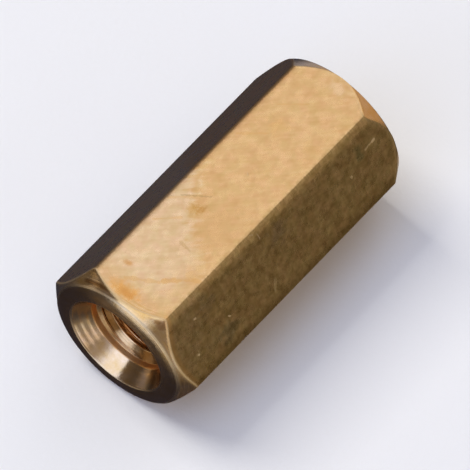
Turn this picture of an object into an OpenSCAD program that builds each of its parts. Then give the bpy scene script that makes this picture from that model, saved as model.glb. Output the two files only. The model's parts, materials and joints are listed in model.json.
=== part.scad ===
// Hexagonal threaded standoff with a tapped hole at each end.
// It lies on one of its flats. The bore runs along X, end A faces -X and
// end B faces +X. The origin is on the bore axis, midway between the ends.

/* [Body] */
// Width across the flats of the hexagon
across_flats = 5.5; // [5:0.1:8]
// Length from end face to end face
body_length = 12; // [6:0.5:40]
// Radius of the six long edges, as drawn bar has them
edge_r = 0.15; // [0.05:0.01:0.4]

/* [Thread] */
// Outer diameter of the tapped thread
thread_d = 3; // [2.5:0.5:3]
// Pitch of the thread
thread_pitch = 0.5; // [0.4:0.05:0.7]

/* [End A] */
// Outer diameter of the flat land around the mouth at end A
land_a_d = 4.6; // [4.5:0.05:4.75]
// Diameter at which the corner chamfer starts at end A
ring_a_d = 5.3; // [4.9:0.05:5.45]
// How far the face at end A falls back between the land and the chamfer
fall_a = 0.11; // [0.05:0.01:0.2]
// Slope of the corner chamfer at end A, measured from the end face
chamfer_a_deg = 45; // [40:1:65]
// Diameter of the countersink's mouth at end A
mouth_a_d = 4; // [3.8:0.1:4.4]
// Included angle of the countersink at end A
sink_a_deg = 60; // [60:1:90]

/* [End B] */
// Outer diameter of the flat ring that the corner chamfer leaves at end B
ring_b_d = 5.45; // [4.9:0.05:5.45]
// Slope of the corner chamfer at end B, measured from the end face
chamfer_b_deg = 60; // [20:1:65]
// Diameter of the countersink's mouth at end B
mouth_b_d = 4; // [3.8:0.1:4.4]
// Included angle of the countersink at end B
sink_b_deg = 60; // [60:1:90]

/* [Entry relief] */
// Diameter of the plain relief ahead of the thread at both ends
relief_d = 3.2; // [3.1:0.05:3.5]
// Depth of the relief's plain wall, from the end face
relief_depth = 0.9; // [0.8:0.05:1.4]
// Included angle of the drill point that ends the relief
point_deg = 118; // [90:1:135]

/* [Hidden] */
$fn = 96;
// Distance from the axis to a sharp corner of the hexagon
corner_d2 = across_flats / 2 / cos(30);
// Distance from the axis to the centre of a rounded corner
edge_c = corner_d2 - edge_r / cos(30);
// The tapped wall is left at the tap drill's size, which is the thread's
// crest diameter
drill_d = thread_d - thread_pitch;
// Radius of the turned envelope, well clear of the corners
clear_r = corner_d2 + 1;
// How far the cutters run past the end faces
over = 0.5;
// The corner arcs stand this little bit proud, so that they cross the flats
// cleanly where a true tangent would leave slivers
proud = 0.0002;

// Points where the flats run into the rounded corners
function flat_points() = [
    for (k = [0:5], s = [-30, 30])
        [edge_c * cos(60 * k) + edge_r * cos(60 * k + s),
         edge_c * sin(60 * k) + edge_r * sin(60 * k + s)]];

// Section of drawn hexagon bar: six flats joined by true arcs, with a flat
// at the top and at the bottom once it is laid along X
module bar_section() {
    union() {
        polygon(flat_points());
        for (k = [0:5])
            rotate(60 * k) translate([edge_c, 0]) circle(r = edge_r + proud);
    }
}

// Cone about Z that has radius r at height z and widens upward, at a slope of
// deg from the end face
module widening_cone(r, z, deg, height) {
    r0 = r - z / tan(deg);
    cylinder(h = height, r1 = r0, r2 = r0 + height / tan(deg));
}

// Body of revolution that the lathe leaves: a flat land at each end and the
// cones outside it. The steeper cone cuts the six corners to arcs, and end A
// has a shallow one inside it, where the face falls back towards its rim
module turned_envelope() {
    rl = land_a_d / 2;
    ra = ring_a_d / 2;
    rb = ring_b_d / 2;
    fall_deg = atan(fall_a / (ra - rl));
    height = body_length + clear_r * tan(chamfer_a_deg);
    db = (clear_r - rb) * tan(chamfer_b_deg);
    intersection() {
        widening_cone(ra, fall_a, chamfer_a_deg, height);
        widening_cone(rl, 0, fall_deg, height);
        translate([0, 0, -db - over])
            cylinder(h = db + over + body_length, r1 = rb + (db + over + body_length) / tan(chamfer_b_deg), r2 = rb);
    }
}

// Entry of the hole with its mouth in the plane z = 0, opening downward: a
// countersink, a plain relief and the cone that the drill's point leaves
module entry(mouth_d, angle) {
    t = tan(angle / 2);
    depth = (mouth_d - relief_d) / 2 / t;
    point = (relief_d - drill_d) / 2 / tan(point_deg / 2);
    translate([0, 0, -over])
        cylinder(h = over + depth, r1 = mouth_d / 2 + over * t, r2 = relief_d / 2);
    translate([0, 0, -over]) cylinder(h = over + relief_depth, d = relief_d);
    translate([0, 0, relief_depth])
        cylinder(h = point, r1 = relief_d / 2, r2 = drill_d / 2);
}

// The whole standoff, turned and drilled about Z and then laid along X
module standoff_body() {
    color([0.80, 0.62, 0.33])
    rotate([0, 90, 0])
    translate([0, 0, -body_length / 2])
    difference() {
        intersection() {
            rotate([0, 0, 90]) linear_extrude(height = body_length) bar_section();
            turned_envelope();
        }
        translate([0, 0, -over]) cylinder(h = body_length + 2 * over, d = drill_d);
        entry(mouth_a_d, sink_a_deg);
        translate([0, 0, body_length]) mirror([0, 0, 1]) entry(mouth_b_d, sink_b_deg);
    }
}

standoff_body();
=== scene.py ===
import json
import math

import bpy
import numpy as np
from mathutils import Matrix, Vector

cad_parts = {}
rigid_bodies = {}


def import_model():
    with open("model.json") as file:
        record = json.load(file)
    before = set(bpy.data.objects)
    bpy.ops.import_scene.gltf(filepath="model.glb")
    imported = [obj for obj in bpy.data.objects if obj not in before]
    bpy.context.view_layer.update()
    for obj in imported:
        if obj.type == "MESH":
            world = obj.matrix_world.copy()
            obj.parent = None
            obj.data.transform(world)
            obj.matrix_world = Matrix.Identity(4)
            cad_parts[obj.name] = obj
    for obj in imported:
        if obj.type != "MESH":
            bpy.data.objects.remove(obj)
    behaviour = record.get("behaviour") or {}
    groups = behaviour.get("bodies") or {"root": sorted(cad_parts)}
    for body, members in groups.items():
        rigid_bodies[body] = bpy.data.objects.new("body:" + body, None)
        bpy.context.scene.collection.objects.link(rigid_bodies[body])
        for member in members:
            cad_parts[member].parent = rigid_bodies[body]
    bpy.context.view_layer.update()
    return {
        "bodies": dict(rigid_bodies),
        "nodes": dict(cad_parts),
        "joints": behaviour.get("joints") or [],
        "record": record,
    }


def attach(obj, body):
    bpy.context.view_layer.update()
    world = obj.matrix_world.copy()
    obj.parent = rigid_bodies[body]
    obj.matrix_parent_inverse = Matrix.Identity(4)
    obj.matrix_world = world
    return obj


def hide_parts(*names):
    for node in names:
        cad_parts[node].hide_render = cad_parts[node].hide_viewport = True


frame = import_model()

# The construction's own sizes, in mm, in the row frame: the bore runs along X, end A faces -X, end B faces +X.
AF = 5.5          # across the flats
HALF = 6.0        # half the length
EDGE = 0.15       # radius of the long edges
RING_A, TAN_A = 2.65, math.tan(math.radians(45))    # end A: radius where the chamfer starts, chamfer depth per radius
RING_B, TAN_B = 2.725, math.tan(math.radians(60))   # end B
FALL_A = 0.11     # how far the face at end A falls back between its land and the chamfer
MOUTH = 2.0       # radius of both countersinks at the end faces
RELIEF, RELIEF_X = 1.6, HALF - 0.9                  # plain relief behind each countersink, and where its wall ends
FOOT_X = HALF - (MOUTH - RELIEF) / math.tan(math.radians(30))
CREST, ROOT, PITCH = 1.25, 1.52, 0.5                # M3 x 0.5 internal thread
PLAIN = 1.12      # radius of the hole before the thread is cut
POINT_X = RELIEF_X - (RELIEF - PLAIN) / math.tan(math.radians(59))
MM = 0.001

rng = np.random.default_rng(31)


def smooth(v, a, b):
    t = np.clip((v - a) / (b - a), 0, 1)
    return t * t * (3 - 2 * t)


# ---------------------------------------------------------------- body mesh

def section(flat_segments=26, arc_segments=6):
    """Points round the hexagon's section with their outward normals. Flats are at +Z and -Z."""
    apothem, reach = AF / 2, AF / math.sqrt(3)
    centre = reach - 2 * EDGE / math.sqrt(3)
    # the drawn bar's flats roll off beside the long edges, the top one and the one facing +Y, only close to them
    near_edge = np.linspace(0, 1, 201)
    tilts = 0.15 * np.exp(-(near_edge / 0.19) ** 2)
    drops = np.cumsum(tilts[::-1])[::-1] * 0.005
    unit = lambda b: np.array([math.cos(b), math.sin(b)])
    flats = []
    for k in range(6):
        n = unit(math.radians(60 * k + 30))
        p0 = unit(math.radians(60 * k)) * centre + EDGE * n
        p1 = unit(math.radians(60 * (k + 1))) * centre + EDGE * n
        width = np.linalg.norm(p1 - p0)
        tang = (p1 - p0) / width
        crisp = 2.6 if k in (0, 1) else 1.0
        rows = []
        for i in range(flat_segments + 1):
            t = i / flat_segments
            t = 0.55 * t + 0.45 * (0.5 - 0.5 * math.cos(math.pi * t))
            s = min(t, 1 - t) * width
            drop = np.interp(s * crisp, near_edge, drops, right=0.0) / crisp
            tilt = np.interp(s * crisp, near_edge, tilts, right=0.0) * (1 if t > 0.5 else -1)
            m = n + tang * tilt
            rows.append((p0 + (p1 - p0) * t - n * drop, m / np.linalg.norm(m), s))
        flats.append(rows)
    pts, nrm, arc = [], [], []
    for k in range(6):
        # the long edge: a curve that leaves one flat and meets the next along their own slopes
        (p, m, _), (q, n, _) = flats[k - 1][-1], flats[k][0]
        c = np.linalg.solve(np.array([m, n]), np.array([m @ p, n @ q]))
        for i in range(1, arc_segments):
            t = i / arc_segments
            v = (1 - t) * (c - p) + t * (q - c)
            v = np.array([v[1], -v[0]]) / np.linalg.norm(v)
            pts.append((1 - t) ** 2 * p + 2 * t * (1 - t) * c + t ** 2 * q); nrm.append(v); arc.append(0.0)
        for p, m, s in flats[k]:
            pts.append(p); nrm.append(m); arc.append(s)
    return np.array(pts), np.array(nrm), np.array(arc)


def bezier(p, q, r, n):
    t = np.linspace(0, 1, n + 1)[None, :, None]
    return (1 - t) ** 2 * p[:, None] + 2 * t * (1 - t) * q[:, None] + t ** 2 * r[:, None]


def profile(corners, lengths, arcs, straights):
    """Rows of a closed profile for every column: corners rounded by the given lengths, and points along the sides.
    corners is (columns, corners, 2); lengths are (before, after) at each corner."""
    n = corners.shape[1]
    side = np.roll(corners, -1, 1) - corners
    span = np.linalg.norm(side, axis=2)
    unit = side / span[..., None]
    before, after = [], []
    for k in range(n):
        prev = (k - 1) % n
        before.append(np.minimum(lengths[k][0], 0.42 * span[:, prev]))
        after.append(np.minimum(lengths[k][1], 0.42 * span[:, k]))
    rows, tags = [], []
    for k in range(n):
        prev = (k - 1) % n
        p = corners[:, k] - unit[:, prev] * before[k][:, None]
        r = corners[:, k] + unit[:, k] * after[k][:, None]
        if arcs[k]:
            b = bezier(p, corners[:, k], r, arcs[k])
            for i in range(arcs[k] + 1):
                rows.append(b[:, i]); tags.append((k, "arc", i / arcs[k]))
        else:
            rows.append(corners[:, k]); tags.append((k, "arc", 0.5))
            r = corners[:, k]
        nxt = (k + 1) % n
        q = corners[:, nxt] - unit[:, k] * before[nxt][:, None] if arcs[nxt] else corners[:, nxt]
        for t in straights[k]:
            rows.append(r + (q - r) * t); tags.append((k, "side", t))
    return np.stack(rows, 1), tags


def body_mesh():
    pts, nrm, arc = section()
    phi = np.arctan2(pts[:, 1], pts[:, 0])
    R = np.hypot(pts[:, 0], pts[:, 1])
    cols = len(R)
    one = np.ones(cols)
    line = lambda px, pr: np.stack([px * one, pr * one], 1)
    corners = np.stack([
        line(-POINT_X, PLAIN),                                              # 0 drill point A meets the bore
        line(-RELIEF_X, RELIEF),                                            # 1 end of relief A
        line(-FOOT_X, RELIEF),                                              # 2 foot of countersink A
        line(-HALF, MOUTH),                                                 # 3 mouth A
        line(-HALF + FALL_A, RING_A),                                       # 4 rim A
        np.stack([-HALF + FALL_A + (R - RING_A) * TAN_A, R], 1),            # 5 chamfer A meets the bar
        np.stack([HALF - (R - RING_B) * TAN_B, R], 1),                      # 6 chamfer B meets the bar
        line(HALF, RING_B),                                                 # 7 rim B
        line(HALF, MOUTH),                                                  # 8 mouth B
        line(FOOT_X, RELIEF),                                               # 9 foot of countersink B
        line(RELIEF_X, RELIEF),                                             # 10 end of relief B
        line(POINT_X, PLAIN),                                               # 11 drill point B meets the bore
    ], 1)

    def wave(seed, amount):
        r = np.random.default_rng(seed)
        w = sum(r.normal() / f * np.cos(f * phi + r.uniform(0, 6.28)) for f in range(2, 12))
        return 1 + amount * w / np.abs(w).max()

    lengths = [
        (0, 0),
        (0.010, 0.010),
        (0.020 * wave(13, .3), 0.030 * wave(14, .3)),
        (0.035 * wave(1, .25), 0.035 * wave(2, .25)),
        (0.060 * wave(3, .2), 0.060 * wave(4, .2)),
        (0.058 * wave(5, .2), 0.085 * wave(6, .3)),
        (0.040 * wave(7, .3), 0.035 * wave(8, .3)),
        (0.050 * wave(9, .3), 0.040 * wave(10, .3)),
        (0.030 * wave(11, .3), 0.030 * wave(12, .3)),
        (0.020, 0.020),
        (0.010, 0.010),
        (0, 0),
    ]
    arcs = [0, 2, 3, 4, 4, 4, 4, 5, 4, 3, 2, 0]
    lin = lambda n: np.arange(1, n) / n
    ease = lambda n: (lambda t: 0.8 * t + 0.2 * (0.5 - 0.5 * np.cos(np.pi * t)))(lin(n))
    straights = [lin(6), lin(5), lin(48), lin(34), lin(8), ease(112), lin(7), lin(26), lin(24), lin(5), lin(6), np.array([0.5])]
    xr, tags = profile(corners, lengths, arcs, straights)     # (columns, rows, 2)
    rows = xr.shape[1]
    zone = np.array([t[0] + (0 if t[1] == "arc" else 0.5) for t in tags])

    # turning marks: ripples along the profile's own normal, the same all round the axis
    d = np.roll(xr, -1, 1) - np.roll(xr, 1, 1)
    d /= np.maximum(np.linalg.norm(d, axis=2, keepdims=True), 1e-9)
    normal = np.stack([-d[..., 1], d[..., 0]], -1)            # points out of the metal
    rr = xr[..., 1]
    ripple = np.zeros(rr.shape)

    def ring_marks(r, centres):
        return sum(h * np.exp(-((r - c) / w) ** 2) for c, h, w in centres)

    marks_b = [(1.93, -.003, .020), (1.86, .003, .022), (1.79, -.003, .020), (1.71, .003, .022)]
    on = lambda z: (zone == z)[None, :]
    # countersink A: four shallow rings, deepest on its +Y side
    uneven = np.exp(-(((np.degrees(phi) - 330 + 180) % 360 - 180) / 24.0) ** 2)[:, None]
    ripple += on(2.5) * 0.0034 * np.cos((rr - 1.8620) * 2 * math.pi / 0.119) * (0.12 + 0.88 * uneven)
    ripple += on(8.5) * ring_marks(rr, marks_b)
    # the facing tool's faint feed marks
    ripple += on(3.5) * 0.0006 * np.sin((rr - 2.1) * 2 * math.pi / 0.075)
    ripple += on(7.5) * 0.0008 * np.sin((rr - 2.1) * 2 * math.pi / 0.080)
    ripple += on(4.5) * 0.0026 * np.sin((rr - 2.65) * 2 * math.pi / 0.110)
    ripple += on(6.5) * 0.0022 * np.sin((rr - 2.72) * 2 * math.pi / 0.11)
    xr = xr + normal * ripple[..., None]
    # the face at end A is flat round the mouth and falls back in a curve towards its rim
    knots_r = np.array([2.00, 2.08, 2.16, 2.24, 2.32, 2.40, 2.48, 2.56, 2.65])
    knots_a = np.array([3.0, 3.4, 4.0, 5.5, 10.0, 14.5, 17.5, 20.0, 23.0])
    fine = np.linspace(2.0, RING_A, 400)
    slope = np.tan(np.radians(np.interp(fine, knots_r, knots_a)))
    fall = np.concatenate([[0], np.cumsum(0.5 * (slope[1:] + slope[:-1])) * (fine[1] - fine[0])])
    fall *= FALL_A / fall[-1]
    straight = FALL_A * (xr[..., 1] - MOUTH) / (RING_A - MOUTH)
    curve = np.interp(xr[..., 1], fine, fall)
    face_a = ((zone > 3) & (zone <= 4)) | ((zone == 3) & (np.arange(rows) > np.flatnonzero(zone == 3)[2]))
    xr[..., 0] += np.where(face_a[None, :], curve - straight, 0)
    crown = 0.020 * np.clip((xr[..., 1] - 2.25) / (RING_B - 2.25), 0, 1) ** 2 * np.clip((3.15 - xr[..., 1]) / 0.45, 0, 1)
    xr[..., 0] -= np.where(((zone > 6) & (zone <= 8))[None, :], crown, 0)
    xr[..., 0] = np.clip(xr[..., 0], -HALF, HALF)

    # the bar's own surface: slow waves in the flats, and nicks
    outer = ((zone >= 5) & (zone <= 6))[None, :]
    x, r = xr[..., 0], xr[..., 1]
    y, z = np.cos(phi)[:, None] * r, np.sin(phi)[:, None] * r
    wav = np.zeros(x.shape)
    g = np.random.default_rng(7)
    for _ in range(26):
        f = g.uniform(0.5, 3.2); a = g.uniform(0, 6.28); b = g.integers(1, 7)
        wav += np.cos(f * x + b * phi[:, None] + a) * g.normal() / (0.6 + f)
    wav *= 0.0016 / np.abs(wav).max()
    move = np.where(outer, wav - 0.0016, 0.0)
    nicks = [  # x, y, z, width, depth: places where the bar was knocked
        (-1.47, -1.58, 2.72, .085, .020),
        (0.64, -1.60, 2.72, .060, .012),
        (3.35, -1.62, 2.70, .050, .010),
        (-4.60, -2.35, 1.40, .040, .016),
        (-2.10, 1.60, 2.70, .060, .012),
    ]
    for nx, ny, nz, w, depth in nicks:
        q = ((x - nx) ** 2 + (y - ny) ** 2 + (z - nz) ** 2) / w ** 2
        move -= np.where(outer, depth * np.exp(-q), 0.0)
    y = y + nrm[:, 0][:, None] * move
    z = z + nrm[:, 1][:, None] * move

    verts = np.stack([x, y, z], -1).reshape(-1, 3)
    i, j = np.meshgrid(np.arange(cols), np.arange(rows), indexing="ij")
    i2, j2 = (i + 1) % cols, (j + 1) % rows
    quads = np.stack([i * rows + j, i * rows + j2, i2 * rows + j2, i2 * rows + j], -1).reshape(-1, 4)
    return verts, quads


def thread_tool(phase, columns=120):
    """A threaded rod that is cut from the body. Its rows follow the helix, so crests and roots are clean edges."""
    flat = 0.1487
    prof = [(0.0, CREST), (flat / 2 - .010, CREST), (flat / 2 + .006, CREST + .009), (0.1225, 1.3333), (0.1706, 1.4167), (0.2240, 1.509),
            (0.25, ROOT), (0.2760, 1.509), (0.3294, 1.4167), (0.3775, 1.3333), (PITCH - flat / 2 - .006, CREST + .009), (PITCH - flat / 2 + .010, CREST)]
    pu = np.array([p[0] for p in prof]); pr = np.array([p[1] for p in prof])
    per = len(prof)
    end = 5.35
    start = -end - 1.6 * PITCH + phase
    turns = int(math.ceil((2 * end + 4.2 * PITCH) / PITCH))
    rows = turns * per + per
    theta = np.arange(columns) / columns * 2 * math.pi
    k = np.arange(rows)
    u = pu[k % per] + (k // per) * PITCH
    x = start + PITCH * theta[:, None] / (2 * math.pi) + u[None, :]
    clamped = np.clip(x, -end, end)
    local = np.mod(clamped - start - PITCH * theta[:, None] / (2 * math.pi), PITCH)
    r = np.interp(local, np.append(pu, PITCH), np.append(pr, pr[0]))
    inside = (x > -end) & (x < end)
    ids = np.zeros(x.shape, int)
    verts = []
    for i in range(columns):
        low = len(verts); verts.append((-end, r[i, 0] * math.cos(theta[i]), r[i, 0] * math.sin(theta[i])))
        high = len(verts); verts.append((end, r[i, -1] * math.cos(theta[i]), r[i, -1] * math.sin(theta[i])))
        for j in range(rows):
            if inside[i, j]:
                ids[i, j] = len(verts)
                verts.append((clamped[i, j], r[i, j] * math.cos(theta[i]), r[i, j] * math.sin(theta[i])))
            else:
                ids[i, j] = low if x[i, j] <= -end else high
    faces = []
    for i in range(columns):
        i2 = (i + 1) % columns
        shift = per if i2 == 0 else 0
        for j in range(rows - 1 - shift):
            f = [ids[i, j], ids[i, j + 1], ids[i2, j + 1 + shift], ids[i2, j + shift]]
            g = []
            for v in f:
                if v not in g:
                    g.append(v)
            if len(g) >= 3:
                faces.append(g)
    low_c, high_c = len(verts), len(verts) + 1
    verts += [(-end, 0, 0), (end, 0, 0)]
    for i in range(columns):
        i2 = (i + 1) % columns
        faces.append([low_c, ids[i, 0], ids[i2, 0]])
        faces.append([high_c, ids[i2, -1], ids[i, -1]])
    return np.array(verts), faces


def make_mesh(name, verts, faces):
    mesh = bpy.data.meshes.new(name)
    mesh.from_pydata((np.asarray(verts) * MM).tolist(), [], [list(map(int, f)) for f in faces])
    mesh.update()
    mesh.validate()
    obj = bpy.data.objects.new(name, mesh)
    bpy.context.scene.collection.objects.link(obj)
    return obj


def outward(obj):
    """Turns the mesh's faces outward, by its volume."""
    m = obj.data
    co = np.zeros(len(m.vertices) * 3); m.vertices.foreach_get("co", co); co = co.reshape(-1, 3)
    m.calc_loop_triangles()
    t = np.zeros(len(m.loop_triangles) * 3, int); m.loop_triangles.foreach_get("vertices", t); t = t.reshape(-1, 3)
    v = np.einsum("ij,ij->i", co[t[:, 0]], np.cross(co[t[:, 1]], co[t[:, 2]])).sum()
    if v < 0:
        m.flip_normals()


verts, quads = body_mesh()
body = make_mesh("standoff", verts, quads)
outward(body)
tv, tf = thread_tool(phase=-0.021)
tool = make_mesh("thread_cutter", tv, tf)
outward(tool)
mod = body.modifiers.new("thread", "BOOLEAN")
mod.operation = "DIFFERENCE"
mod.object = tool
mod.solver = "MANIFOLD"
bpy.context.view_layer.update()
deps = bpy.context.evaluated_depsgraph_get()
cut = bpy.data.meshes.new_from_object(body.evaluated_get(deps))
body.modifiers.clear()
old = body.data
body.data = cut
cut.name = "standoff"
bpy.data.meshes.remove(old)
tool_mesh = tool.data
bpy.data.objects.remove(tool)
bpy.data.meshes.remove(tool_mesh)


# ---------------------------------------------------------------- zones, and edge wear that also carries a painted highlight, worked out on the finished mesh

mesh = body.data
mesh.materials.clear()
co = np.zeros(len(mesh.vertices) * 3); mesh.vertices.foreach_get("co", co); co = co.reshape(-1, 3) * 1000
fc = np.zeros(len(mesh.polygons) * 3); mesh.polygons.foreach_get("center", fc); fc = fc.reshape(-1, 3) * 1000
fn = np.zeros(len(mesh.polygons) * 3); mesh.polygons.foreach_get("normal", fn); fn = fn.reshape(-1, 3)


def hex_reach(y, z):
    """Distance along each of the three flat normals, largest first."""
    a = np.stack([np.abs(y * math.cos(t) + z * math.sin(t)) for t in np.radians([30, 90, 150])])
    a = -np.sort(-a, 0)
    return a[0], a[1]


r = np.hypot(fc[:, 1], fc[:, 2])
m1, m2 = hex_reach(fc[:, 1], fc[:, 2])
on_bar = (np.abs(fn[:, 0]) < 0.30) & (m1 > 2.66)
on_thread = (r < ROOT + .06) & (np.abs(fc[:, 0]) < RELIEF_X + .01)
zone = np.where(on_bar, 0, np.where(on_thread, 2, 1)).astype(np.int32)

x, rv = co[:, 0], np.hypot(co[:, 1], co[:, 2])
m1, m2 = hex_reach(co[:, 1], co[:, 2])
R = 2.75 / np.maximum(m1, 1e-6) * rv
R = np.minimum(R, 3.1522)
outer = m1 > 2.3
ridge = smooth(m2, 2.60, 2.72) * outer * np.where(co[:, 2] > 1.2, 1.0, 0.15)
edge_a = np.exp(-((x - (-HALF + FALL_A + (R - RING_A) * TAN_A)) / 0.055) ** 2) * outer
edge_b = np.exp(-((x - (HALF - (R - RING_B) * TAN_B)) / 0.060) ** 2) * outer
rim_a = np.exp(-((x + HALF - FALL_A) ** 2 + (rv - RING_A) ** 2) / 0.055 ** 2)
rim_b = np.exp(-((x - HALF) ** 2 + (rv - RING_B) ** 2) / 0.055 ** 2)
lip = np.exp(-((np.abs(x) - HALF) ** 2 + (rv - MOUTH) ** 2) / 0.035 ** 2)
# worn edges, rims and lips; the materials paint them paler, which is partly worn metal and partly a painted highlight
wear_and_highlight = np.clip(np.maximum.reduce([0.55 * ridge, edge_a, edge_b, rim_a, rim_b, 0.8 * lip]), 0, 1)
attr = mesh.attributes.new("wear_and_highlight", "FLOAT", "POINT")
attr.data.foreach_set("value", wear_and_highlight.astype(np.float32))

mesh.polygons.foreach_set("material_index", zone)
mesh.polygons.foreach_set("use_smooth", np.ones(len(mesh.polygons), bool))
mesh.set_sharp_from_angle(angle=math.radians(34))
mesh.update()


# ---------------------------------------------------------------- node helpers

class Nodes:
    def __init__(self, tree):
        self.tree = tree

    def new(self, kind, **props):
        n = self.tree.nodes.new(kind)
        for k, v in props.items():
            setattr(n, k, v)
        return n

    def put(self, socket, value):
        if isinstance(value, bpy.types.NodeSocket):
            self.tree.links.new(value, socket)
        else:
            socket.default_value = value

    def math(self, op, a, b=None, c=None, clamp=False):
        n = self.new("ShaderNodeMath", operation=op, use_clamp=clamp)
        for s, v in zip(n.inputs, (a, b, c)):
            if v is not None:
                self.put(s, v)
        return n.outputs[0]

    def vec(self, op, a, b=None, scale=None):
        n = self.new("ShaderNodeVectorMath", operation=op)
        self.put(n.inputs[0], a)
        if b is not None:
            self.put(n.inputs[1], b)
        if scale is not None:
            self.put(n.inputs["Scale"], scale)
        return n.outputs["Value"] if op in ("DOT_PRODUCT", "LENGTH", "DISTANCE") else n.outputs[0]

    def split(self, v):
        n = self.new("ShaderNodeSeparateXYZ")
        self.put(n.inputs[0], v)
        return n.outputs[0], n.outputs[1], n.outputs[2]

    def join(self, x, y, z):
        n = self.new("ShaderNodeCombineXYZ")
        for s, v in zip(n.inputs, (x, y, z)):
            self.put(s, v)
        return n.outputs[0]

    def noise(self, v, scale, detail=2.0, rough=0.5, distort=0.0):
        n = self.new("ShaderNodeTexNoise", noise_dimensions="3D")
        self.put(n.inputs["Vector"], v)
        self.put(n.inputs["Scale"], scale)
        self.put(n.inputs["Detail"], detail)
        self.put(n.inputs["Roughness"], rough)
        self.put(n.inputs["Distortion"], distort)
        return n.outputs["Fac"]

    def cells(self, v, scale, feature="F1", randomness=1.0):
        n = self.new("ShaderNodeTexVoronoi", feature=feature)
        self.put(n.inputs["Vector"], v)
        self.put(n.inputs["Scale"], scale)
        self.put(n.inputs["Randomness"], randomness)
        return n.outputs["Distance"]

    def step(self, v, a, b, lo=0.0, hi=1.0):
        n = self.new("ShaderNodeMapRange", interpolation_type="SMOOTHSTEP", clamp=True)
        for s, w in zip(n.inputs, (v, a, b, lo, hi)):
            self.put(s, w)
        return n.outputs[0]

    def lerp(self, v, a, b, lo, hi):
        n = self.new("ShaderNodeMapRange", interpolation_type="LINEAR", clamp=True)
        for s, w in zip(n.inputs, (v, a, b, lo, hi)):
            self.put(s, w)
        return n.outputs[0]

    def mix(self, fac, a, b, blend="MIX"):
        n = self.new("ShaderNodeMix", data_type="RGBA", blend_type=blend)
        n.clamp_factor = True
        self.put(n.inputs["Factor"], fac)
        for key, v in (("A", a), ("B", b)):
            s = [i for i in n.inputs if i.name == key and i.type == "RGBA"][0]
            if isinstance(v, tuple) and len(v) == 3:
                v = v + (1.0,)
            self.put(s, v)
        return [o for o in n.outputs if o.type == "RGBA"][0]

    def attribute(self, name):
        n = self.new("ShaderNodeAttribute", attribute_type="GEOMETRY", attribute_name=name)
        return n.outputs["Fac"]

    def bump(self, height, distance, strength=1.0, normal=None):
        n = self.new("ShaderNodeBump")
        self.put(n.inputs["Strength"], strength)
        self.put(n.inputs["Distance"], distance)
        self.put(n.inputs["Height"], height)
        if normal is not None:
            self.put(n.inputs["Normal"], normal)
        return n.outputs[0]


def material(name):
    m = bpy.data.materials.new(name)
    m.use_nodes = True
    m.node_tree.nodes.clear()
    k = Nodes(m.node_tree)
    bsdf = k.new("ShaderNodeBsdfPrincipled")
    out = k.new("ShaderNodeOutputMaterial")
    k.tree.links.new(bsdf.outputs[0], out.inputs["Surface"])
    return m, k, bsdf


def mm_coords(k):
    t = k.new("ShaderNodeTexCoord")
    return k.vec("SCALE", t.outputs["Object"], scale=1000.0)


def near(k, p, centre, radii, warp, lo=0.75, hi=1.1):
    """1 inside a soft ellipsoid about centre (mm), fading out between lo and hi of its radii; warp ruffles the border."""
    d = k.vec("SUBTRACT", p, centre)
    d = k.vec("MULTIPLY", d, tuple(1 / v for v in radii))
    d = k.vec("LENGTH", d)
    d = k.math("ADD", d, warp)
    return k.step(d, hi, lo, 0.0, 1.0)


PALE = (0.900, 0.630, 0.360)
GOLD = (0.810, 0.495, 0.178)
ORANGE = (0.790, 0.430, 0.125)
BROWN = (0.480, 0.270, 0.105)
OLIVE = (0.340, 0.285, 0.120)
GREY = (0.660, 0.440, 0.200)


def stroke(k, p, a, b, width, warp):
    """1 on a scratch of the given width (mm) from a to b, fading to 0 at its border."""
    a, b = Vector(a), Vector(b)
    along = b - a
    rel = k.vec("SUBTRACT", p, tuple(a))
    t = k.math("DIVIDE", k.vec("DOT_PRODUCT", rel, tuple(along)), along.length_squared, clamp=True)
    foot = k.vec("SCALE", tuple(along), scale=t)
    d = k.math("ADD", k.vec("LENGTH", k.vec("SUBTRACT", rel, foot)), k.math("MULTIPLY", warp, width))
    return k.step(d, width, width * 0.35)


def most(k, *v):
    out = v[0]
    for w in v[1:]:
        out = k.math("MAXIMUM", out, w)
    return out


def on_right(x, s):
    """The point on the flat that faces -Y +Z, s mm down from the ridge it shares with the top flat."""
    return (x, -AF / (2 * math.sqrt(3)) - 0.5 * s, AF / 2 - math.sqrt(0.75) * s)


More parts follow.
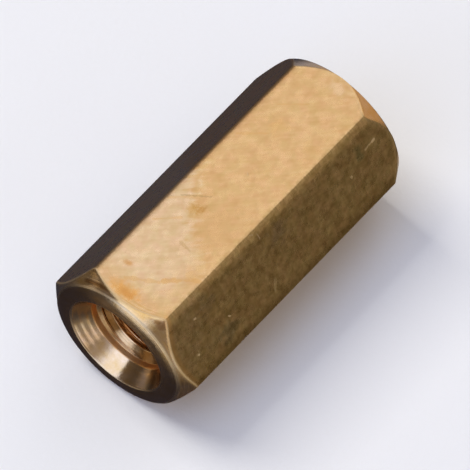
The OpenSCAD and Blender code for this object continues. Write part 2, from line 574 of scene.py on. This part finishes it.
def brass_drawn():
    m, k, b = material("brass_drawn")
    p = mm_coords(k)
    x, y, z = k.split(p)
    wear_and_highlight = k.attribute("wear_and_highlight")
    # cloudy tarnish: broad clouds, finer mottling and a fine grain; paler towards -X
    broad = k.noise(k.vec("ADD", p, (3.1, 7.7, 1.3)), 0.55, 2.0, 0.5, 0.5)
    mottle = k.noise(k.vec("MULTIPLY", p, (1.0, 1.2, 1.2)), 2.8, 2.5, 0.45, 0.2)
    grain = k.noise(p, 11.0, 2.0, 0.5)
    streak = k.noise(k.vec("MULTIPLY", p, (0.35, 9.0, 9.0)), 1.0, 3.0, 0.6)
    warp = k.math("MULTIPLY", k.math("SUBTRACT", mottle, 0.5), 2.6)
    # rubbed lightly aslant on top, and across on the flat facing -Y
    slant = k.join(k.vec("DOT_PRODUCT", p, (0.741 * 1.3, -0.671 * 1.3, 0.0)), k.vec("DOT_PRODUCT", p, (0.671 * 7.0, 0.741 * 7.0, 0.0)), 3.0)
    aslant = k.noise(slant, 1.0, 3.0, 0.55)
    across = k.noise(k.vec("MULTIPLY", p, (8.0, 1.6, 1.6)), 1.0, 3.0, 0.55)
    side = k.step(k.vec("DOT_PRODUCT", p, (0.0, -0.866, 0.5)), 2.55, 2.70)
    rub = k.math("ADD", k.math("MULTIPLY", aslant, k.math("SUBTRACT", 1.0, side)), k.math("MULTIPLY", across, side))
    tone = k.math("ADD", k.math("MULTIPLY", broad, 0.16), k.math("MULTIPLY", mottle, 0.36))
    tone = k.math("ADD", tone, k.math("MULTIPLY", grain, 0.08))
    tone = k.math("ADD", tone, k.math("MULTIPLY", rub, 0.40))
    # cleaner towards end A, where the skin is paler, and a brown cloud beside that
    edge = k.math("ADD", k.math("SUBTRACT", x, k.math("MULTIPLY", y, 1.1)), k.math("MULTIPLY", k.math("SUBTRACT", broad, 0.5), 1.2))
    edge = k.math("ADD", edge, k.math("MULTIPLY", k.math("SUBTRACT", k.math("ADD", mottle, aslant), 1.0), 1.8))
    clean = k.math("MULTIPLY", k.step(edge, -1.30, -2.30), k.step(k.math("ADD", y, k.math("MULTIPLY", mottle, 1.2)), -1.0, 0.4, 0.30, 1.0))
    clean = k.math("MULTIPLY", clean, k.step(x, -5.3, -4.4, 0.45, 1.0))
    col = k.mix(clean, (0.836, 0.535, 0.240), (0.886, 0.632, 0.358))
    col = k.mix(1.0, col, k.mix(k.lerp(tone, 0.37, 0.63, 0.0, 1.0), (1.065, 1.095, 1.170), (0.935, 0.905, 0.830)), "MULTIPLY")
    hue = k.noise(k.vec("ADD", p, (5.5, 2.2, 8.1)), 2.4, 2.0, 0.5)
    col = k.mix(1.0, col, k.mix(k.lerp(hue, 0.35, 0.65, 0.0, 1.0), (1.012, 0.972, 0.985), (0.988, 1.014, 0.970)), "MULTIPLY")
    # tarnish: an orange patch beside end A, brown spots, a grey smudge, and a dark blotch on the flat facing -Y
    dab = lambda c, r, amount, colour: (near(k, p, c, r, warp, 0.25, 1.35), amount, colour)
    ruffle = k.math("MULTIPLY", k.math("SUBTRACT", k.noise(p, 6.5, 3.0, 0.65), 0.5), 3.6)
    spot = lambda c, r, amount, colour: (near(k, p, c, r, ruffle, 0.10, 1.70), amount, colour)
    drift = k.math("ADD", k.math("MULTIPLY", ruffle, 0.35), k.math("MULTIPLY", warp, 0.35))
    soft = lambda c, r, amount, colour: (near(k, p, c, r, drift, 0.25, 1.40), amount, colour)
    dabs = [
        soft((-5.38, 0.24, 2.75), (0.33, 0.66, 0.30), 0.90, (0.860, 0.450, 0.130)),
        soft((-5.43, 0.12, 2.75), (0.16, 0.32, 0.30), 0.70, (0.740, 0.345, 0.090)),
        soft((-4.48, 0.85, 2.75), (0.12, 0.18, 0.30), 0.80, (0.720, 0.370, 0.120)),
        spot((-1.27, 0.37, 2.75), (0.19, 0.17, 0.30), 0.90, (0.620, 0.330, 0.090)),
        spot((-1.46, 0.56, 2.75), (0.19, 0.17, 0.30), 0.70, (0.730, 0.430, 0.140)),
        dab((-1.40, -0.60, 2.75), (1.05, 0.60, 0.30), 0.60, (0.790, 0.480, 0.205)),
        dab((-3.60, -1.15, 2.75), (0.45, 0.25, 0.30), 0.45, (0.790, 0.460, 0.180)),
        dab((3.05, 0.45, 2.75), (0.42, 0.36, 0.30), 0.35, (0.820, 0.470, 0.150)),
        dab((3.10, -1.05, 2.75), (0.32, 0.26, 0.30), 0.40, (0.760, 0.440, 0.160)),
        dab((1.50, 0.75, 2.75), (0.30, 0.25, 0.30), 0.30, (0.760, 0.470, 0.180)),
        dab((5.55, -0.20, 2.75), (0.25, 0.45, 0.30), 0.50, PALE),
        dab(on_right(4.45, 1.00), (0.24, 0.30, 0.42), 0.60, OLIVE),
        dab(on_right(3.20, 1.75), (0.60, 0.60, 0.80), 0.30, (0.960, 0.680, 0.310)),
        dab(on_right(-4.00, 2.10), (0.50, 0.40, 0.40), 0.25, (0.940, 0.700, 0.370)),
        dab(on_right(-3.30, 2.38), (0.45, 0.35, 0.40), 0.50, (0.500, 0.390, 0.230)),
        dab(on_right(0.10, 0.85), (0.55, 0.30, 0.40), 0.45, (0.520, 0.370, 0.240)),
        dab(on_right(-3.60, 0.80), (0.45, 0.35, 0.40), 0.30, (0.540, 0.400, 0.250)),
    ]
    for mask, amount, colour in dabs:
        col = k.mix(k.math("MULTIPLY", mask, amount), col, colour)
    streaks = most(
        k, k.math("MULTIPLY", stroke(k, p, (-5.00, 0.56, 2.75), (-4.40, -0.40, 2.75), 0.10, warp), 0.45),
        k.math("MULTIPLY", stroke(k, p, (-4.22, -0.52, 2.75), (-3.45, -1.43, 2.75), 0.12, warp), 0.60),
        k.math("MULTIPLY", stroke(k, p, (-2.60, 1.30, 2.75), (-1.90, 0.60, 2.75), 0.05, warp), 0.35),
        k.math("MULTIPLY", stroke(k, p, (-1.60, 1.45, 2.75), (-1.00, 0.85, 2.75), 0.05, warp), 0.35),
        k.math("MULTIPLY", stroke(k, p, (1.90, 1.30, 2.75), (2.60, 0.50, 2.75), 0.06, warp), 0.35),
        k.math("MULTIPLY", stroke(k, p, (3.70, 1.00, 2.75), (4.40, 0.20, 2.75), 0.05, warp), 0.30),
    )
    col = k.mix(streaks, col, (0.780, 0.440, 0.140))
    smudge = k.math("MULTIPLY", stroke(k, p, (-2.69, -0.02, 2.75), (-2.75, -0.44, 2.75), 0.075, warp), 0.6)
    col = k.mix(smudge, col, GREY)
    # olive mottling on the flat facing -Y
    moss = k.noise(k.vec("ADD", p, (9.0, 4.0, 1.0)), 3.8, 2.5, 0.6)
    film = k.mix(k.lerp(moss, 0.30, 0.70, 0.0, 1.0), (1.050, 1.100, 1.150), (0.620, 0.610, 0.520))
    col = k.mix(side, col, k.mix(1.0, col, film, "MULTIPLY"))
    # browner on the flat facing +Y
    away = k.step(k.vec("DOT_PRODUCT", p, (0.0, 0.866, 0.5)), 2.55, 2.70)
    col = k.mix(away, col, k.mix(1.0, col, (0.985, 0.880, 0.790), "MULTIPLY"))
    # beside the chamfer at end A: an orange tint on that flat, fine curved marks on the top one
    radial = k.vec("LENGTH", k.join(0.0, y, z))
    past = k.math("SUBTRACT", k.math("ADD", x, HALF - FALL_A + RING_A), radial)
    tint = k.math("MULTIPLY", k.math("MULTIPLY", k.step(past, 0.0, 0.04), k.step(past, 0.34, 0.14)), side)
    col = k.mix(k.math("MULTIPLY", tint, 0.7), col, (0.900, 0.520, 0.200))
    curved = k.noise(k.join(k.math("MULTIPLY", past, 13.0), k.math("MULTIPLY", y, 0.8), 0.0), 1.0, 2.0, 0.5)
    curved = k.math("MULTIPLY", k.math("MULTIPLY", k.step(curved, 0.50, 0.66), k.step(past, 0.60, 0.15)), k.step(z, 2.70, 2.73))
    col = k.mix(k.math("MULTIPLY", curved, 0.55), col, (0.700, 0.400, 0.120))
    # scratches and specks, where the skin is broken and scatters the light
    score = stroke(k, p, (-1.22, 1.18, 2.75), (-0.62, 0.36, 2.75), 0.046, ruffle)
    col = k.mix(k.math("MULTIPLY", score, 0.45), col, (0.500, 0.330, 0.140))
    specks = k.cells(k.vec("ADD", p, (1.7, 0.3, 2.9)), 1.9)
    specks = k.step(k.math("ADD", specks, k.math("MULTIPLY", grain, 0.05)), 0.085, 0.040)
    flecks = most(
        k,
        stroke(k, p, on_right(5.23, 0.97), on_right(5.12, 0.99), 0.090, warp),
        k.math("MULTIPLY", stroke(k, p, on_right(5.10, 0.99), on_right(4.72, 1.03), 0.055, warp), 0.6),
        stroke(k, p, on_right(-4.38, 0.84), on_right(-4.30, 0.86), 0.045, warp),
        stroke(k, p, on_right(-4.84, 2.10), on_right(-4.80, 2.14), 0.042, warp),
        stroke(k, p, on_right(-3.08, 1.85), on_right(-3.02, 1.92), 0.045, warp),
        k.math("MULTIPLY", stroke(k, p, on_right(3.74, 1.44), on_right(3.76, 1.50), 0.060, ruffle), 0.6),
        k.math("MULTIPLY", stroke(k, p, on_right(-0.98, 2.62), on_right(-0.74, 2.20), 0.070, warp), 0.30),
        stroke(k, p, on_right(-0.66, 0.05), on_right(-0.63, 0.42), 0.036, warp),
        stroke(k, p, on_right(-0.92, 0.02), on_right(-0.80, 0.10), 0.050, warp),
        k.math("MULTIPLY", stroke(k, p, (0.86, -0.02, 2.75), (0.92, 0.03, 2.75), 0.045, warp), 0.5),
    )
    col = k.mix(k.math("MULTIPLY", specks, k.math("MULTIPLY", k.math("SUBTRACT", 1.0, side), 0.25)), col, (0.930, 0.720, 0.420))
    col = k.mix(k.math("MULTIPLY", flecks, 0.5), col, (0.930, 0.720, 0.420))
    chatter = k.noise(k.vec("MULTIPLY", p, (13.0, 3.0, 3.0)), 1.0, 2.0, 0.5)
    col = k.mix(k.math("MULTIPLY", k.math("MULTIPLY", wear_and_highlight, k.step(chatter, 0.46, 0.62)), k.math("MULTIPLY", side, 1.1)), col, (0.430, 0.280, 0.120))
    # painted highlight: a pale gold line along the edge between chamfer A and the flats, and paler worn metal on the
    # other worn edges
    edge_highlight = k.step(k.math("ABSOLUTE", k.math("ADD", past, 0.01)), 0.12, 0.04)
    col = k.mix(most(k, k.math("MULTIPLY", wear_and_highlight, 0.25), k.math("MULTIPLY", edge_highlight, 0.9)), col, (1.000, 0.720, 0.360))
    k.put(b.inputs["Base Color"], col)
    b.inputs["Metallic"].default_value = 1.0
    rough = k.lerp(mottle, 0.3, 0.7, 0.25, 0.33)
    rough = k.math("ADD", rough, k.math("MULTIPLY", k.math("SUBTRACT", grain, 0.5), 0.06))
    rough = k.math("ADD", rough, k.math("MULTIPLY", flecks, 0.34))
    rough = k.math("ADD", rough, k.math("MULTIPLY", wear_and_highlight, 0.06))
    rough = k.math("ADD", rough, k.math("MULTIPLY", edge_highlight, 0.28), clamp=True)
    k.put(b.inputs["Roughness"], rough)
    # relief: a fine skin with faint drawing lines and a few tiny pits
    pits = k.step(k.cells(k.vec("ADD", p, (5.0, 1.0, 2.0)), 1.3), 0.055, 0.02)
    fine = k.noise(p, 5.0, 2.0, 0.5)
    h = k.math("ADD", k.math("MULTIPLY", fine, 0.7), k.math("MULTIPLY", streak, 0.25))
    h = k.math("ADD", h, k.math("MULTIPLY", rub, 0.45))
    h = k.math("ADD", h, k.math("MULTIPLY", k.math("MULTIPLY", wear_and_highlight, chatter), 2.0))
    h = k.math("SUBTRACT", h, k.math("MULTIPLY", pits, 0.25))
    h = k.math("SUBTRACT", h, k.math("MULTIPLY", flecks, 0.5))
    k.put(b.inputs["Normal"], k.bump(h, 0.000007))
    return m


def brass_turned():
    m, k, b = material("brass_turned")
    p = mm_coords(k)
    wear_and_highlight = k.attribute("wear_and_highlight")
    x, y, z = k.split(p)
    radial = k.vec("LENGTH", k.join(0.0, y, z))
    wob = k.noise(p, 0.8, 1.0)
    ring = k.join(k.math("ADD", radial, k.math("MULTIPLY", wob, 0.015)), x, 0.0)
    marks = k.noise(ring, 24.0, 3.0, 0.7)
    wide = k.noise(ring, 7.0, 2.0, 0.5)
    cloud = k.noise(p, 2.2, 3.0, 0.6, 0.3)
    col = k.mix(k.lerp(cloud, 0.30, 0.70, 0.0, 1.0), PALE, GOLD)
    # inside countersink A: less of the orange tone, and painted shade on two sides of it
    inside = k.math("MULTIPLY", k.step(radial, 2.02, 1.98), k.step(x, -5.0, -5.2))
    clean = k.math("SUBTRACT", 1.0, k.math("MULTIPLY", inside, 0.75))
    col = k.mix(k.math("MULTIPLY", k.math("MULTIPLY", k.step(wide, 0.5, 0.7), 0.35), clean), col, ORANGE)
    toward = lambda deg: k.math("DIVIDE", k.math("ADD", k.math("MULTIPLY", y, math.cos(math.radians(deg))), k.math("MULTIPLY", z, math.sin(math.radians(deg)))), radial)
    # painted shade: darker on two sides of countersink A, and towards its foot
    painted_shade = most(k, k.step(toward(8.0), 0.860, 0.960), k.step(toward(198.0), 0.870, 0.955))
    foot = k.math("MULTIPLY", k.step(radial, 1.74, 1.64), most(k, k.step(toward(355.0), 0.850, 0.940), k.step(toward(216.0), 0.840, 0.930)))
    painted_shade = most(k, painted_shade, k.math("MULTIPLY", foot, 0.75))
    painted_shade = k.math("MULTIPLY", k.math("MULTIPLY", inside, painted_shade), k.lerp(cloud, 0.35, 0.65, 0.85, 1.0))
    col = k.mix(painted_shade, col, (0.330, 0.222, 0.122))
    # darker brown on the chamfer at the corner between the top flat and the one facing -Y
    warp = k.math("MULTIPLY", k.math("SUBTRACT", cloud, 0.5), 1.6)
    col = k.mix(k.math("MULTIPLY", near(k, p, (-5.56, -1.50, 2.60), (0.26, 0.26, 0.24), warp, 0.6, 1.15), 0.80), col, (0.620, 0.320, 0.120))
    col = k.mix(k.math("MULTIPLY", near(k, p, (-5.62, -1.09, 2.71), (0.12, 0.17, 0.10), warp, 0.4, 1.2), 0.75), col, (0.640, 0.330, 0.110))
    # painted shadow: a dark line on chamfer A near its corner towards +Y
    chamfer_shadow_line = k.math("MULTIPLY", k.math("MULTIPLY", k.step(radial, 2.73, 2.79), k.step(radial, 2.89, 2.83)), k.step(toward(66.0), 0.965, 0.985))
    col = k.mix(k.math("MULTIPLY", k.math("MULTIPLY", chamfer_shadow_line, k.step(x, -5.0, -5.2)), 0.8), col, (0.400, 0.180, 0.045))
    col = k.mix(k.math("MULTIPLY", k.step(radial, 1.625, 1.605), k.lerp(cloud, 0.35, 0.65, 0.6, 0.95)), col, (0.940, 0.520, 0.180))
    col = k.mix(k.math("MULTIPLY", near(k, p, (-5.58, -1.33, 2.645), (0.13, 0.15, 0.12), warp, 0.5, 1.15), 0.85), col, (0.520, 0.250, 0.070))
    # worn rims, lips and edges in paler metal, partly a painted highlight on them
    bright = k.mix(k.step(radial, 2.68, 2.82), (0.970, 0.740, 0.440), (0.930, 0.590, 0.220))
    col = k.mix(k.math("MULTIPLY", wear_and_highlight, 0.80), col, bright)
    front = k.step(x, -5.0, -5.2)
    gold = k.math("MULTIPLY", k.math("MULTIPLY", k.step(radial, 2.60, 2.74), k.step(toward(97.0), 0.955, 0.985)), front)
    col = k.mix(gold, col, k.mix(1.0, col, (0.965, 0.860, 0.640), "MULTIPLY"))
    # painted shade: a darker band across the face at end A near the top, inside its rim
    band = k.math("MULTIPLY", k.math("MULTIPLY", k.step(radial, 2.20, 2.28), k.step(radial, 2.47, 2.40)), k.step(toward(109.0), 0.860, 0.930))
    col = k.mix(k.math("MULTIPLY", band, front), col, k.mix(1.0, col, (0.700, 0.680, 0.660), "MULTIPLY"))
    k.put(b.inputs["Base Color"], col)
    b.inputs["Metallic"].default_value = 1.0
    rough = k.lerp(marks, 0.3, 0.7, 0.10, 0.20)
    rough = k.math("ADD", rough, k.math("MULTIPLY", wear_and_highlight, 0.22))
    # the relief behind each countersink was left as drilled
    rough = k.math("ADD", rough, k.step(radial, 1.625, 1.600, 0.0, 0.28), clamp=True)
    k.put(b.inputs["Roughness"], rough)
    b.inputs["Anisotropic"].default_value = 0.6
    b.inputs["Anisotropic Rotation"].default_value = 0.25
    t = k.new("ShaderNodeTangent", direction_type="RADIAL", axis="X")
    k.put(b.inputs["Tangent"], t.outputs[0])
    h = k.math("ADD", k.math("MULTIPLY", marks, 0.6), k.math("MULTIPLY", k.noise(p, 8.0, 3.0, 0.6), 0.4))
    k.put(b.inputs["Normal"], k.bump(h, 0.000007))
    return m


def brass_thread():
    m, k, b = material("brass_thread")
    p = mm_coords(k)
    x, y, z = k.split(p)
    radial = k.vec("LENGTH", k.join(0.0, y, z))
    turn = k.math("ARCTAN2", z, y)
    along = k.math("SUBTRACT", x, k.math("MULTIPLY", turn, PITCH / (2 * math.pi)))
    helix = k.join(radial, k.math("FRACT", k.math("DIVIDE", along, PITCH)), 0.0)
    marks = k.noise(helix, 14.0, 3.0, 0.65)
    cloud = k.noise(p, 2.6, 3.0, 0.6, 0.3)
    col = k.mix(k.step(cloud, 0.35, 0.65), (0.840, 0.550, 0.275), (0.780, 0.460, 0.190))
    col = k.mix(k.math("MULTIPLY", k.step(marks, 0.55, 0.75), 0.3), col, BROWN)
    # painted shade in the first turns at end A, apart from a stretch at the bottom
    toward = lambda deg: k.math("DIVIDE", k.math("ADD", k.math("MULTIPLY", y, math.cos(math.radians(deg))), k.math("MULTIPLY", z, math.sin(math.radians(deg)))), radial)
    painted_shade = most(k, k.step(toward(230.0), 0.850, 0.920), k.math("MULTIPLY", k.step(toward(342.0), 0.720, 0.800), k.step(x, -5.02, -4.98)))
    painted_shade = k.math("MULTIPLY", k.math("MULTIPLY", painted_shade, k.step(x, -4.3, -4.5)), k.step(radial, CREST + 0.01, CREST + 0.03))
    col = k.mix(k.math("MULTIPLY", painted_shade, k.lerp(cloud, 0.35, 0.65, 0.85, 1.0)), col, (0.340, 0.150, 0.036))
    # a painted shadow line where the thread starts, at the bottom
    lead_shadow = k.math("MULTIPLY", k.step(toward(276.0), 0.86, 0.95), k.step(x, -4.98, -5.02))
    col = k.mix(k.math("MULTIPLY", lead_shadow, 0.65), col, (0.420, 0.200, 0.070))
    k.put(b.inputs["Base Color"], col)
    b.inputs["Metallic"].default_value = 1.0
    k.put(b.inputs["Roughness"], k.lerp(marks, 0.3, 0.7, 0.12, 0.22))
    h = k.math("ADD", k.math("MULTIPLY", marks, 0.6), k.math("MULTIPLY", k.noise(p, 8.0, 3.0, 0.6), 0.5))
    k.put(b.inputs["Normal"], k.bump(h, 0.000008))
    return m


for maker in (brass_drawn, brass_turned, brass_thread):
    mesh.materials.append(maker())

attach(body, "root")
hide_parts("standoff_body")


# ---------------------------------------------------------------- floor, lights, camera

def floor():
    s = 0.6
    me = bpy.data.meshes.new("floor")
    z = -AF / 2 * MM
    me.from_pydata([(-s, -s, z), (s, -s, z), (s, s, z), (-s, s, z)], [], [(0, 1, 2, 3)])
    o = bpy.data.objects.new("floor", me)
    bpy.context.scene.collection.objects.link(o)
    m, k, b = material("floor_paper")
    p = mm_coords(k)
    col = k.mix(k.noise(p, 0.15, 2.0), (0.810, 0.790, 0.745), (0.835, 0.815, 0.765))
    k.put(b.inputs["Base Color"], col)
    b.inputs["Roughness"].default_value = 0.9
    b.inputs["Specular IOR Level"].default_value = 0.1
    k.put(b.inputs["Normal"], k.bump(k.noise(p, 6.0, 3.0), 0.00001))
    me.materials.append(m)
    o.visible_glossy = False
    return o


floor()


def sky(k, d):
    """What surrounds the object, by direction: softboxes, windows and the dim room between them."""
    x, y, z = k.split(d)
    mul = lambda *v: v[0] if len(v) == 1 else k.math("MULTIPLY", v[0], mul(*v[1:]))
    # degrees from -X, growing towards -Y
    turn = mul(k.math("ARCTAN2", mul(y, -1.0), mul(x, -1.0)), 57.29578)
    # below the horizon: dim, darkest straight down
    low = k.mix(k.step(y, -0.75, 0.1), (0.085, 0.070, 0.040), (0.050, 0.054, 0.078))
    low = k.mix(k.step(z, -0.92, -0.72), (0.028, 0.026, 0.040), low)
    beyond = mul(k.step(x, 0.38, 0.48), k.step(z, -0.70, -0.78), k.step(y, 0.34, 0.22))
    near_low = k.mix(k.step(z, -0.75, -0.20), (0.028, 0.026, 0.040), (0.120, 0.110, 0.105))
    low = k.mix(k.step(x, 0.05, -0.30), low, near_low)
    low = k.mix(beyond, low, (0.360, 0.315, 0.260))
    # above it: grey, darker on the -X +Y side
    up = k.mix(k.step(y, -0.2, 0.5), (0.340, 0.305, 0.240), (0.15, 0.14, 0.14))
    left = k.mix(k.step(turn, -60.0, -44.0), (0.070, 0.060, 0.060), (0.140, 0.125, 0.130))
    right = k.mix(k.step(z, 0.30, 0.60), (0.235, 0.225, 0.240), (0.360, 0.360, 0.450))
    up = k.mix(k.step(x, 0.0, -0.4), up, k.mix(k.step(y, 0.25, -0.15), left, right))
    col = k.mix(k.step(z, -0.16, 0.05), low, up)
    # the table's near edge and a pale card low on the left
    table = mul(k.step(z, -0.830, -0.790), k.step(turn, -35.0, -28.0), k.step(turn, -14.0, -21.0), k.step(z, -0.62, -0.72))
    col = k.mix(table, col, (0.210, 0.175, 0.140))
    lean = k.math("SUBTRACT", turn, k.lerp(z, -0.10, 0.0, 0.0, -9.0))
    card = mul(k.step(turn, -53.0, -48.0), k.step(lean, -30.0, -36.0), k.step(z, -0.42, -0.32), k.step(z, 0.14, 0.04))
    col = k.mix(card, col, (0.540, 0.505, 0.485))
    glow = mul(k.step(turn, -64.0, -76.0), k.step(z, -0.22, 0.02), k.step(z, 0.42, 0.22), k.step(x, 0.15, -0.05))
    col = k.mix(glow, col, (0.200, 0.185, 0.215))
    # light from the far side, low over +X
    behind = mul(k.step(turn, -132.0, -141.0), k.step(z, -0.62, -0.26))
    col = k.mix(behind, col, (0.390, 0.425, 0.600))
    east = mul(k.step(x, 0.80, 0.95), k.step(z, -0.40, -0.22))
    col = k.mix(east, col, (0.52, 0.40, 0.31))
    dim = mul(k.step(turn, -10.0, 2.0), k.step(turn, 80.0, 50.0), k.step(z, 0.05, -0.10), k.lerp(z, -0.80, -0.45, 0.0, 1.0))
    col = k.mix(dim, col, (0.360, 0.335, 0.320))
    # a second window towards -Y, slanting up on its near side, with its paler image below
    slant = k.math("ADD", turn, k.lerp(z, 0.20, 0.60, 0.0, -26.0))
    band = mul(k.step(slant, 36.0, 46.0), k.step(turn, 118.0, 96.0), k.step(z, 0.66, 0.56))
    frame = k.math("ADD", turn, k.lerp(z, -0.5, 0.6, -15.0, 18.0))
    bright = k.mix(k.step(frame, 61.5, 69.5), (0.250, 0.245, 0.300), (0.800, 0.820, 1.080))
    bright = k.mix(k.step(turn, 84.0, 98.0), bright, (0.500, 0.470, 0.440))
    col = k.mix(mul(band, k.lerp(z, -0.30, 0.12, 0.30, 1.0), k.step(z, -0.55, -0.10)), col, bright)
    tail = mul(k.step(turn, 48.0, 60.0), k.step(turn, 118.0, 96.0), k.step(z, 0.0, -0.2))
    col = k.mix(tail, col, k.mix(k.lerp(z, -0.95, -0.20, 0.0, 1.0), (0.085, 0.075, 0.085), k.mix(k.step(turn, 84.0, 98.0), (0.270, 0.275, 0.320), (0.168, 0.150, 0.108))))
    # a lamp low towards -Y
    lamp = mul(k.step(turn, 70.0, 77.0), k.step(turn, 98.0, 90.0), k.step(z, -0.46, -0.30), k.step(z, 0.10, 0.04))
    col = k.mix(mul(lamp, k.lerp(z, -0.45, 0.0, 0.40, 1.0)), col, (1.00, 1.10, 1.30))
    # the window's image in the table, slanting away to the right
    across = k.math("DIVIDE", k.math("ADD", k.math("ADD", turn, -5.0), mul(k.math("ADD", z, 0.48), 45.0)), 13.0)
    along = k.math("DIVIDE", k.math("ADD", z, 0.49), 0.18)
    reach = k.math("POWER", k.math("ADD", mul(across, across), mul(along, along)), 0.5)
    col = k.mix(k.step(reach, 1.25, 0.45), col, (0.74, 0.78, 0.86))
    across = k.math("DIVIDE", k.math("ADD", k.math("ADD", turn, -22.0), mul(k.math("ADD", z, 0.28), 24.0)), 6.0)
    along = k.math("DIVIDE", k.math("ADD", z, 0.28), 0.20)
    reach = k.math("POWER", k.math("ADD", mul(across, across), mul(along, along)), 0.5)
    col = k.mix(k.step(reach, 1.25, 0.45), col, (0.58, 0.58, 0.62))
    # overhead softbox
    box = mul(k.step(y, -0.30, -0.18), k.step(y, 0.50, 0.41), k.step(z, 0.25, 0.40), k.step(x, -0.32, -0.20))
    col = k.mix(box, col, (0.940, 0.925, 0.985))
    # tall window at -X: a hard edge on its +Y side that leans over at the top, a soft one on the other
    zp = k.math("MAXIMUM", z, 0.0)
    first = k.math("ADD", turn, mul(k.math("POWER", zp, 3.66), 58.0))
    centre = k.math("ADD", k.lerp(z, 0.05, 0.35, 0.0, 19.0), k.lerp(z, 0.50, 0.90, 0.0, 12.0))
    centre = k.math("ADD", centre, k.lerp(z, -0.45, -0.33, 15.0, 0.0))
    width = k.math("ADD", k.lerp(z, 0.35, 0.85, 6.0, 20.0), k.lerp(z, 0.05, 0.20, 0.0, 4.0))
    second = k.math("DIVIDE", k.math("SUBTRACT", turn, centre), width)
    panel = mul(k.step(first, -25.0, -17.0), k.step(second, 1.0, -1.0))
    # its sill
    sill = mul(k.step(z, 0.00, 0.07), k.step(z, 0.24, 0.14), k.step(turn, -30.0, -18.0))
    panel = mul(panel, k.step(k.math("SUBTRACT", z, k.math("ADD", k.lerp(turn, -23.0, -18.0, 0.0, -0.035), k.lerp(turn, -12.0, -2.0, 0.0, 0.10))), -0.64, -0.50), k.math("SUBTRACT", 1.0, mul(sill, 0.62)))
    col = k.mix(panel, col, k.mix(k.step(z, -0.5, 0.15), (0.88, 0.98, 1.22), (1.06, 1.28, 1.98)))
    return col


def studio():
    """A soft studio as a world."""
    w = bpy.data.worlds.new("studio")
    bpy.context.scene.world = w
    w.use_nodes = True
    w.node_tree.nodes.clear()
    k = Nodes(w.node_tree)
    bg = k.new("ShaderNodeBackground")
    k.put(bg.inputs["Color"], sky(k, k.new("ShaderNodeTexCoord").outputs["Generated"]))
    bg.inputs["Strength"].default_value = 1.0
    out = k.new("ShaderNodeOutputWorld")
    k.tree.links.new(bg.outputs[0], out.inputs["Surface"])


studio()


def key_light():
    d = Vector((-0.10, 0.62, 0.78)).normalized()
    li = bpy.data.lights.new("key", "AREA")
    li.shape = "SQUARE"
    li.size = 0.22
    li.energy = 1.6
    o = bpy.data.objects.new("key", li)
    bpy.context.scene.collection.objects.link(o)
    o.location = d * 0.5
    o.rotation_euler = d.to_track_quat("Z", "Y").to_euler()
    o.visible_glossy = False


key_light()

cam = bpy.data.cameras.new("camera")
cam.sensor_fit = "HORIZONTAL"
cam.sensor_width = 36.0
cam.lens = 1009.7 * 1.006
cam.clip_start = 0.01
cam.clip_end = 5.0
cam_obj = bpy.data.objects.new("camera", cam)
bpy.context.scene.collection.objects.link(cam_obj)
az, el, roll = math.radians(-55.5421), math.radians(59.4949), math.radians(5.7659)
back = Vector((math.sin(az) * math.cos(el), -math.cos(az) * math.cos(el), math.sin(el)))
right = Vector((math.cos(az), math.sin(az), 0.0))
up = back.cross(right)
r2 = right * math.cos(roll) + up * math.sin(roll)
u2 = up * math.cos(roll) - right * math.sin(roll)
place = (back * 453.6 + (r2 * 0.2323 - u2 * 0.1448) / 1.006 + Vector((0.06, 0, 0))) * MM
rot = Matrix((r2, u2, back)).transposed().to_4x4()
cam_obj.matrix_world = Matrix.Translation(place) @ rot
bpy.context.scene.camera = cam_obj
bpy.context.scene.view_settings.view_transform = "Standard"
bpy.context.scene.view_settings.look = "None"
